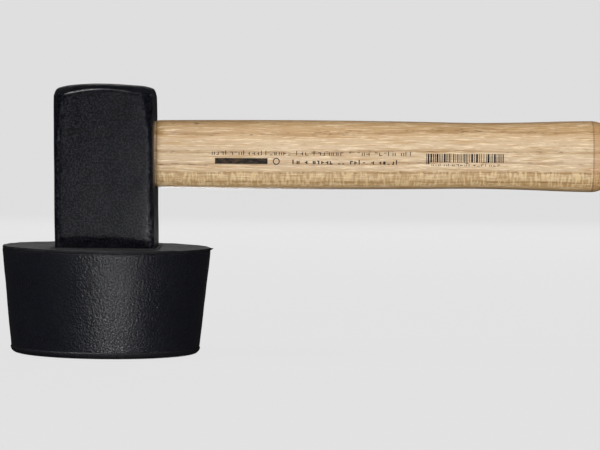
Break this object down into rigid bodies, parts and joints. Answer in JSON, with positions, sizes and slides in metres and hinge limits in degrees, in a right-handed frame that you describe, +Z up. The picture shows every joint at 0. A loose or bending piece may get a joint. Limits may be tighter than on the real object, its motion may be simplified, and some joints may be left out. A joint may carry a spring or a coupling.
{
  "type": "paver's hammer",
  "caption": "Paver's hammer: a square chamfered steel head on an oval ash handle, with a flared rubber tamping cone pushed onto its lower end.",
  "frame": {"origin": "centre of the rubber cone's flat lower face, which is the working face", "axes": "+Z up through the steel head, from the rubber face to the crown; +X along the handle, from the head to the grip; +Y to the user's left when the handle points at the user and the rubber face is down"},
  "size_m": [0.2845, 0.097, 0.1242],
  "materials": {
    "black_lacquered_steel": "satin",
    "black_rubber": "matte",
    "ash_wood": "satin",
    "wedge_wood": "matte",
    "wedge_steel": "satin",
    "ink": "matte"
  },
  "bodies": {
    "root": {"steel_head": "black_lacquered_steel", "rubber_cone": "black_rubber", "handle": "ash_wood", "wooden_wedge": "wedge_wood", "steel_wedge_1": "wedge_steel", "steel_wedge_2": "wedge_steel"}
  },
  "joints": []
}
